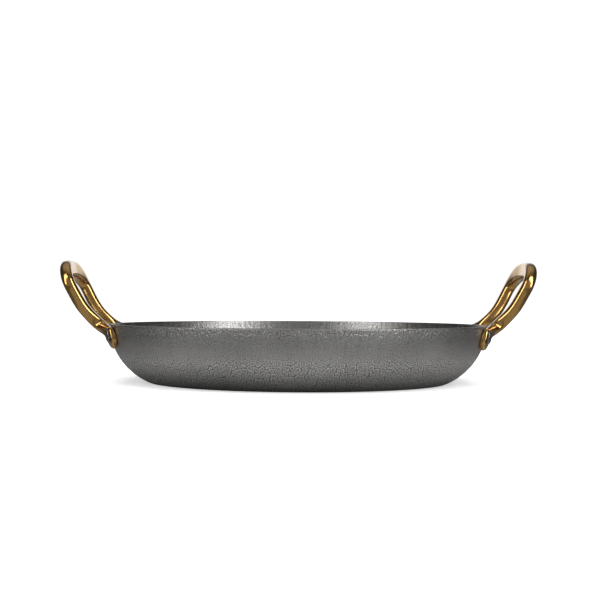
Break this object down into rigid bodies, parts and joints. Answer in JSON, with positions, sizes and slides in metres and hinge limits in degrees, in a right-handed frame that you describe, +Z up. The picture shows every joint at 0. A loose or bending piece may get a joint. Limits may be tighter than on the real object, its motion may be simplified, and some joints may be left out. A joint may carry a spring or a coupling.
{
  "type": "two-handled serving pan",
  "caption": "Shallow round pressed-steel serving pan with an embossed dark finish and riveted cast-brass loop handles.",
  "frame": {"origin": "centre of the flat underside", "axes": "+X through the right handle, +Y away from the front, +Z up"},
  "size_m": [0.3008, 0.2398, 0.0766],
  "materials": {
    "dark_steel": "satin, embossed with small rounded pads",
    "cast_brass": "polished",
    "rivet_steel": "satin"
  },
  "bodies": {
    "root": {"pan_shell": "dark_steel", "left_handle": "cast_brass", "right_handle": "cast_brass", "rivet_left_back": "rivet_steel", "rivet_left_front": "rivet_steel", "rivet_right_back": "rivet_steel", "rivet_right_front": "rivet_steel"}
  },
  "joints": []
}
